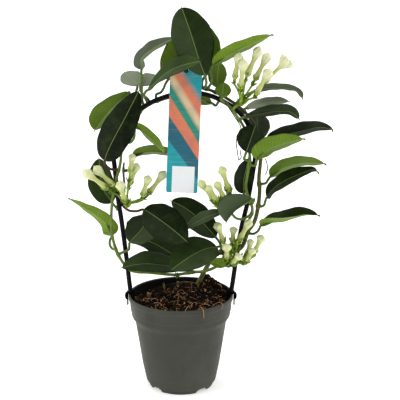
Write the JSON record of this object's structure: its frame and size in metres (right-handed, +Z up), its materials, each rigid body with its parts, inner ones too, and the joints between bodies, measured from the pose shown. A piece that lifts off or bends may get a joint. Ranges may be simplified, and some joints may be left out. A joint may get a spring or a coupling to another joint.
{
  "type": "potted madagascar jasmine",
  "caption": "Potted Madagascar jasmine: a vine with waxy oval leaves and cream flower buds trained round a hoop in a grey nursery pot, with a blank hang tag.",
  "frame": {"origin": "centre of the pot's foot, on the surface it stands on", "axes": "+Z up, the hoop lies in the XZ plane, and the front of the plant and its tag face -Y"},
  "size_m": [0.295, 0.12, 0.438],
  "materials": {
    "pot": "satin",
    "soil": "matte",
    "hoop": "satin",
    "tag": "gloss",
    "tag_hook": "satin",
    "tie": "matte",
    "stem": "matte",
    "stub": "matte",
    "leaf": "satin",
    "flowers": "satin"
  },
  "bodies": {
    "root": {"cutting_stub": "stub", "flowers_left": "flowers", "flowers_low": "flowers", "flowers_middle": "flowers", "flowers_top": "flowers", "hoop": "hoop", "leaf_arch_left": "leaf", "leaf_behind_tag": "leaf", "leaf_centre_dark": "leaf", "leaf_centre_grey": "leaf", "leaf_centre_twisted": "leaf", "leaf_crown_front": "leaf", "leaf_crown_left_rear": "leaf", "leaf_crown_right_rear": "leaf", "leaf_dark_left": "leaf", "leaf_inner_upright": "leaf", "leaf_large_left": "leaf", "leaf_low_centre_large": "leaf", "leaf_low_centre_shadow": "leaf", "leaf_low_front_wide": "leaf", "leaf_low_left_dark": "leaf", "leaf_low_left_pale": "leaf", "leaf_low_left_round": "leaf", "leaf_low_right_pale": "leaf", "leaf_pale_left": "leaf", "leaf_right_long_dark": "leaf", "leaf_right_low": "leaf", "leaf_right_mid_dark": "leaf", "leaf_right_mid_pale": "leaf", "leaf_right_pale_front": "leaf", "leaf_right_round": "leaf", "leaf_right_round_rear": "leaf", "leaf_round_upper_left": "leaf", "leaf_slim_left": "leaf", "leaf_small_upper_left": "leaf", "leaf_tag_top": "leaf", "leaf_top_right_bright": "leaf", "leaf_top_right_hanging": "leaf", "leaf_top_right_inner": "leaf", "leaf_under_hoop": "leaf", "leaf_upper_right_dark": "leaf", "leaf_upper_right_edge": "leaf", "leaf_upper_right_low": "leaf", "old_stub": "stub", "pot": "pot", "potting_soil": "soil", "stem_left": "stem", "stem_left_inner": "stem", "stem_right": "stem", "stem_right_inner": "stem", "tag": "tag", "tag_hook": "tag_hook", "tie_right": "tie", "tie_upper": "tie"}
  },
  "joints": []
}
